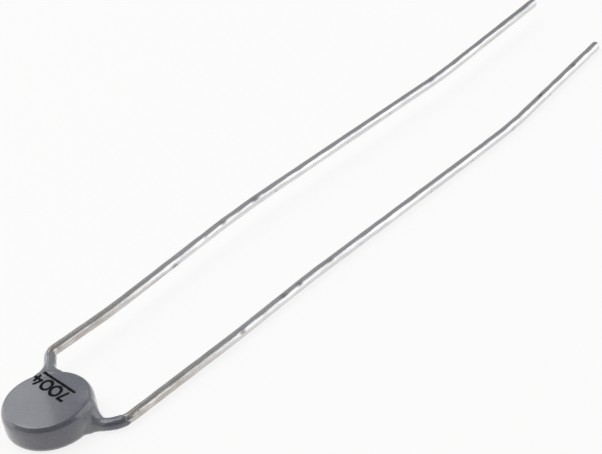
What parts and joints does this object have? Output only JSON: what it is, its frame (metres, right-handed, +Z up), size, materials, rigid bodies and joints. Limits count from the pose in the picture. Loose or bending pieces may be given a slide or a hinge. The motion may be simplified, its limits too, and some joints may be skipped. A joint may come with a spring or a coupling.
{
  "type": "leaded disc thermistor",
  "caption": "Small disc thermistor in a dipped grey lacquer coating, with long tinned wire leads that leave its upper and lower faces and run side by side.",
  "frame": {"origin": "centre of the coating's flat underside", "axes": "+Z up through the disc from its flat underside, +Y along the leads towards their cut tips, +X from the upper lead towards the lower lead"},
  "size_m": [0.0066, 0.0407, 0.0015],
  "materials": {
    "lacquer": "satin",
    "oxide_ceramic": "matte",
    "fired_silver": "matte",
    "solder": "satin",
    "tinned_wire": "satin"
  },
  "bodies": {
    "root": {"coating": "lacquer", "ceramic_disc": "oxide_ceramic", "upper_electrode": "fired_silver", "lower_electrode": "fired_silver", "upper_solder": "solder", "lower_solder": "solder", "upper_lead": "tinned_wire", "lower_lead": "tinned_wire"}
  },
  "joints": []
}
